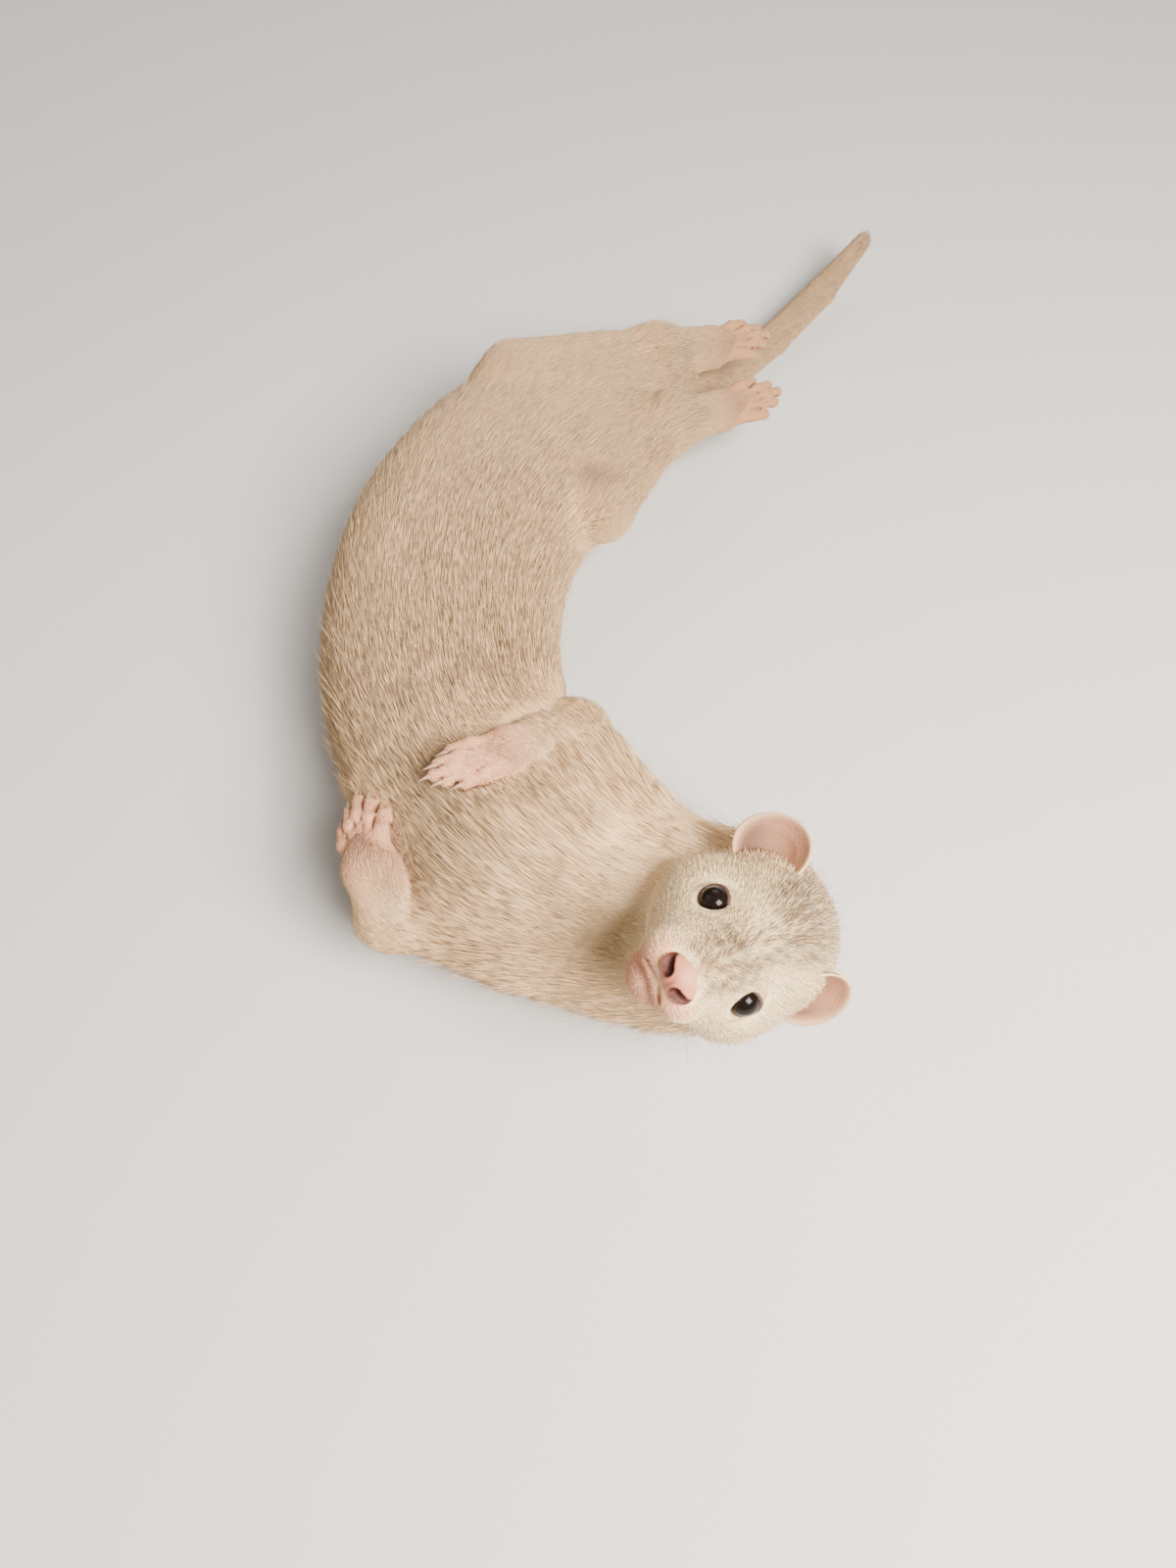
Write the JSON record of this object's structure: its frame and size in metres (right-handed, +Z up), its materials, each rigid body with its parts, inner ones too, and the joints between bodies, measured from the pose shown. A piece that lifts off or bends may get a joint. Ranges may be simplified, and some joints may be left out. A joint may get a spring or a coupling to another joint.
{
  "type": "ferret",
  "caption": "Life-size still ferret lying on its back, body curved, forelegs folded over the chest, hind legs stretched beside the tail, head bent forwards.",
  "frame": {"origin": "on the flat of the back that rests on the floor, under the middle of the belly", "axes": "+Z up out of the floor, +Y from the head towards the tail, +X towards the inside of the body's curve"},
  "size_m": [0.1951, 0.3478, 0.0909],
  "materials": {
    "body_fur": "short dense fur, warm cream",
    "face_fur": "very short pale fur with a faint grey-brown mask",
    "ear_skin": "thin pink-brown skin with fine down",
    "paw_skin": "pinkish skin under very short fur, pale claws",
    "nose_skin": "moist salmon-pink skin",
    "eye": "wet, near black"
  },
  "bodies": {
    "root": {"head": "face_fur", "nose": "nose_skin", "neck": "body_fur", "chest": "body_fur", "belly": "body_fur", "hips": "body_fur", "eye_left": "eye", "ear_left": "ear_skin", "foreleg_left": "body_fur", "forepaw_left": "paw_skin", "hindleg_left": "body_fur", "hindfoot_left": "paw_skin", "eye_right": "eye", "ear_right": "ear_skin", "foreleg_right": "body_fur", "forepaw_right": "paw_skin", "hindleg_right": "body_fur", "hindfoot_right": "paw_skin", "tail_base": "body_fur", "tail_tip": "body_fur"}
  },
  "joints": []
}
